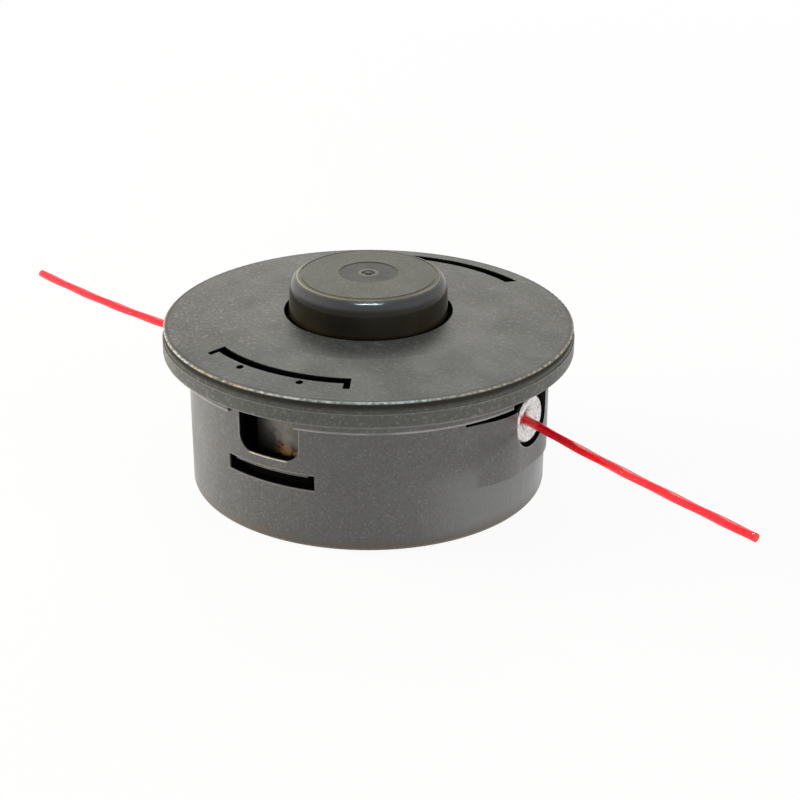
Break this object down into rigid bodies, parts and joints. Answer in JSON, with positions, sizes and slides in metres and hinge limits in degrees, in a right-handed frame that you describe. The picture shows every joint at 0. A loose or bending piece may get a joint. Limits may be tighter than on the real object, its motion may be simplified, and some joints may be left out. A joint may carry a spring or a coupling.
{
  "type": "trimmer head",
  "caption": "Round bump-feed line trimmer head: cup housing with flared eyelets and line ends, latched cover, sprung spool and raised tap button, screwed on by a central drive nut.",
  "frame": {"origin": "centre of the housing's closed face, on the drive axis", "axes": "+Z along the drive axis towards the tap button; the eyelets lie on X and the cover latches on Y"},
  "size_m": [0.2676, 0.1166, 0.0615],
  "materials": {
    "black_plastic": "fine moulded grain, satin on worn edges",
    "button_plastic": "smooth, slightly glossy",
    "spool_plastic": "smooth moulded",
    "line_nylon": "translucent extruded nylon",
    "eyelet_metal": "satin, flared",
    "nut_steel": "turned, zinc plated",
    "spring_steel": "drawn wire"
  },
  "bodies": {
    "head": {"housing": "black_plastic", "cover": "black_plastic", "drive_nut": "nut_steel", "eyelet_right": "eyelet_metal", "eyelet_left": "eyelet_metal", "spring": "spring_steel", "line_right": "line_nylon", "line_left": "line_nylon"},
    "washer": {"thrust_washer": "nut_steel"},
    "spool": {"spool": "spool_plastic", "tap_button": "button_plastic", "upper_winding": "line_nylon", "lower_winding": "line_nylon"}
  },
  "joints": [
    {"name": "tap", "type": "slide", "parent": "head", "child": "washer", "axis": [0, 0, -1], "range_m": [0, 0.006], "stiffness_N_per_m": 1500, "springref_m": -0.01, "deforming": ["spring"]},
    {"name": "spool_turn", "type": "hinge", "parent": "washer", "child": "spool", "pos_m": [0, 0, 0.025], "axis": [0, 0, 1], "range_deg": [0, 22]}
  ]
}
